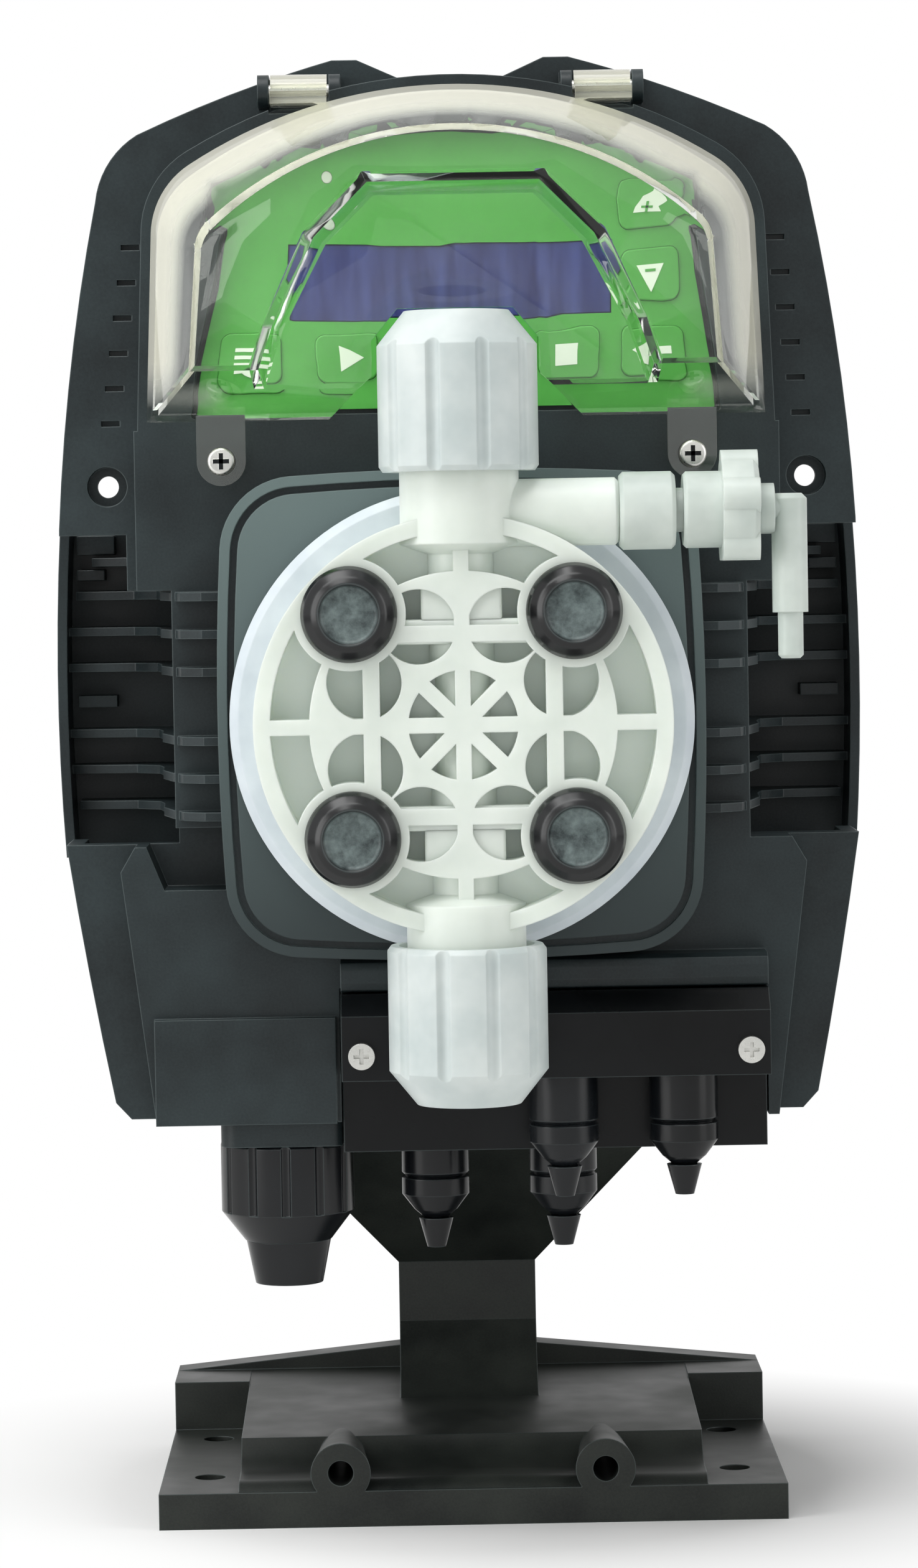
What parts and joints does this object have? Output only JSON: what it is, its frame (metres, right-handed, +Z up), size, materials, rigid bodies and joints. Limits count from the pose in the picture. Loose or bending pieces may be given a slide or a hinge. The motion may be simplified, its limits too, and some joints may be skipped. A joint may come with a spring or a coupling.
{
  "type": "diaphragm metering pump",
  "caption": "Solenoid diaphragm metering pump on a foot: ribbed white head, union nuts, bleed valve, hinged clear lid over a keypad, cable glands below.",
  "frame": {"origin": "centre of the foot underside, on the level it stands on", "axes": "+Z up through the column, -Y out of the front where the pump head faces, +X to the right seen from the front"},
  "size_m": [0.1336, 0.1459, 0.2406],
  "materials": {
    "casing_plastic": "black glass-filled moulding, fine texture",
    "foot_plastic": "dark grey glass-filled moulding, worn",
    "cover_clear": "clear polycarbonate",
    "label_film": "green polyester film",
    "display": "unlit display window",
    "key_silicone": "film over a moulded key",
    "led_lens": "diffusing lens",
    "circuit_board": "lacquered glass-epoxy board",
    "terminal_plastic": "moulded terminal strip",
    "head_plastic": "natural white fluoropolymer",
    "flange_plastic": "grey-blue moulding",
    "cap_plastic": "black moulding",
    "nut_plastic": "natural white fluoropolymer",
    "bleed_plastic": "natural white fluoropolymer",
    "seal_rubber": "elastomer",
    "diaphragm_face": "white faced elastomer",
    "ball_ceramic": "polished ceramic",
    "steel_screws": "stainless steel",
    "solenoid_steel": "zinc-plated mild steel",
    "spring_steel": "stainless steel",
    "tube_brass": "drawn brass",
    "coil_resin": "resin-cast copper winding",
    "gland_plastic": "black polyamide"
  },
  "bodies": {
    "casing": {"bleed_valve_body": "bleed_plastic", "bracket_screws": "steel_screws", "case_screws": "steel_screws", "control_board": "circuit_board", "cover_hinge_pins": "steel_screws", "diaphragm": "diaphragm_face", "discharge_hose_nipple": "nut_plastic", "discharge_union_nut": "nut_plastic", "discharge_valve_body": "nut_plastic", "discharge_valve_seat": "seal_rubber", "foot_bracket": "foot_plastic", "front_housing": "casing_plastic", "guide_tube": "tube_brass", "head_flange": "flange_plastic", "head_screw_caps": "cap_plastic", "head_screws": "steel_screws", "lcd_module": "display", "led_lenses": "led_lens", "panel_label": "label_film", "port_seals": "seal_rubber", "power_gland_body": "gland_plastic", "power_gland_nut": "gland_plastic", "power_gland_sleeve": "gland_plastic", "pump_head": "head_plastic", "rear_housing": "casing_plastic", "return_spring": "spring_steel", "signal_gland_bodies": "gland_plastic", "signal_gland_nuts": "gland_plastic", "signal_gland_plugs": "gland_plastic", "solenoid_coil": "coil_resin", "stroke_buffer": "seal_rubber", "suction_hose_nipple": "nut_plastic", "suction_union_nut": "nut_plastic", "suction_valve_body": "nut_plastic", "suction_valve_seat": "seal_rubber", "terminal_block": "terminal_plastic", "terminal_cover": "casing_plastic", "terminal_cover_screws": "steel_screws", "yoke_frame": "solenoid_steel", "yoke_front_plate": "solenoid_steel"},
    "cover": {"panel_cover": "cover_clear", "cover_screws": "steel_screws"},
    "drive": {"plunger": "solenoid_steel", "push_rod": "spring_steel"},
    "discharge_ball": {"discharge_valve_ball": "ball_ceramic"},
    "suction_ball": {"suction_valve_ball": "ball_ceramic"},
    "bleed_knob": {"bleed_knob": "bleed_plastic"},
    "bleed_needle": {"bleed_needle": "bleed_plastic"},
    "bleed_elbow": {"bleed_elbow": "bleed_plastic"},
    "key_plus": {"key_plus": "key_silicone"},
    "key_minus": {"key_minus": "key_silicone"},
    "key_escape": {"key_escape": "key_silicone"},
    "key_program": {"key_program": "key_silicone"},
    "key_select": {"key_select": "key_silicone"},
    "key_start": {"key_start": "key_silicone"}
  },
  "joints": [
    {"name": "cover_hinge", "type": "hinge", "parent": "casing", "child": "cover", "pos_m": [0, -0.0594, 0.2354], "axis": [-1, 0, 0], "range_deg": [0, 100]},
    {"name": "plunger_stroke", "type": "slide", "parent": "casing", "child": "drive", "axis": [0, -1, 0], "range_m": [0, 0.00125], "stiffness_N_per_m": 4000, "deforming": ["return_spring", "diaphragm"]},
    {"name": "discharge_ball_lift", "type": "slide", "parent": "casing", "child": "discharge_ball", "axis": [0, 0, 1], "range_m": [0, 0.001]},
    {"name": "suction_ball_lift", "type": "slide", "parent": "casing", "child": "suction_ball", "axis": [0, 0, 1], "range_m": [0, 0.001]},
    {"name": "bleed_knob_turn", "type": "hinge", "parent": "casing", "child": "bleed_knob", "pos_m": [0.04, -0.0935, 0.1673], "axis": [1, 0, 0], "range_deg": [0, 270]},
    {"name": "bleed_needle_travel", "type": "slide", "parent": "casing", "child": "bleed_needle", "axis": [1, 0, 0], "range_m": [0, 0.00075]},
    {"name": "bleed_elbow_swivel", "type": "hinge", "parent": "casing", "child": "bleed_elbow", "pos_m": [0.0507, -0.0935, 0.1673], "axis": [1, 0, 0], "range_deg": [-150, 30]},
    {"name": "key_plus_press", "type": "slide", "parent": "casing", "child": "key_plus", "axis": [0, 1, 0], "range_m": [0, 0.0004], "stiffness_N_per_m": 900},
    {"name": "key_minus_press", "type": "slide", "parent": "casing", "child": "key_minus", "axis": [0, 1, 0], "range_m": [0, 0.0004], "stiffness_N_per_m": 900},
    {"name": "key_escape_press", "type": "slide", "parent": "casing", "child": "key_escape", "axis": [0, 1, 0], "range_m": [0, 0.0004], "stiffness_N_per_m": 900},
    {"name": "key_program_press", "type": "slide", "parent": "casing", "child": "key_program", "axis": [0, 1, 0], "range_m": [0, 0.0004], "stiffness_N_per_m": 900},
    {"name": "key_select_press", "type": "slide", "parent": "casing", "child": "key_select", "axis": [0, 1, 0], "range_m": [0, 0.0004], "stiffness_N_per_m": 900},
    {"name": "key_start_press", "type": "slide", "parent": "casing", "child": "key_start", "axis": [0, 1, 0], "range_m": [0, 0.0004], "stiffness_N_per_m": 900}
  ],
  "couplings": [
    {"joint": "bleed_needle_travel", "follows": "bleed_knob_turn", "m_per_rad": 0.00015915}
  ]
}
